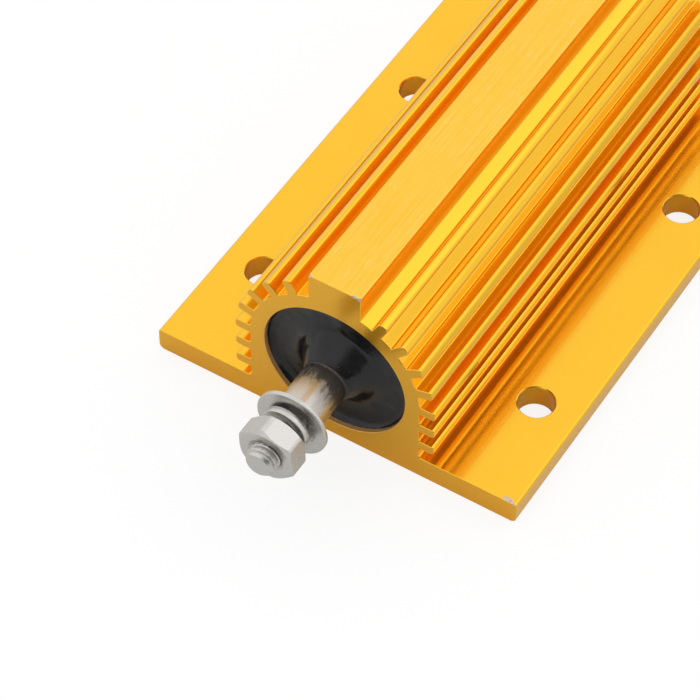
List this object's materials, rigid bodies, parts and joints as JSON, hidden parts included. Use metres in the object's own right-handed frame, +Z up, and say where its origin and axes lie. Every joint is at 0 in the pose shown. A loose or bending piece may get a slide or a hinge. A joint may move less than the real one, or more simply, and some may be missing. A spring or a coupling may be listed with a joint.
{
  "type": "aluminium housed power resistor",
  "caption": "Wirewound power resistor in a finned, gold anodised aluminium housing on a drilled mounting base, with a stud terminal, washers and nut at each end.",
  "frame": {"origin": "middle of the mounting face on the underside of the base", "axes": "+X across the base, +Y along the housing with the front terminal at the -Y end, +Z up from the mounting face"},
  "size_m": [0.048, 0.0994, 0.0256],
  "materials": {
    "gold_anodised_aluminium": "satin gold anodised extrusion",
    "black_resin": "glossy poured resin",
    "plated_terminal": "nickel plated, brushed",
    "plated_fasteners": "nickel plated, satin",
    "cap_steel": "drawn steel",
    "core_ceramic": "matt fired ceramic",
    "resistance_alloy": "drawn nickel alloy wire",
    "filling_cement": "matt packed cement"
  },
  "bodies": {
    "root": {"housing": "gold_anodised_aluminium", "front_end_seal": "black_resin", "rear_end_seal": "black_resin", "front_terminal": "plated_terminal", "rear_terminal": "plated_terminal", "front_flat_washer": "plated_fasteners", "rear_flat_washer": "plated_fasteners", "front_spring_washer": "plated_fasteners", "rear_spring_washer": "plated_fasteners", "front_hex_nut": "plated_fasteners", "rear_hex_nut": "plated_fasteners", "front_end_cap": "cap_steel", "rear_end_cap": "cap_steel", "ceramic_core": "core_ceramic", "resistance_winding": "resistance_alloy", "filling": "filling_cement"}
  },
  "joints": []
}
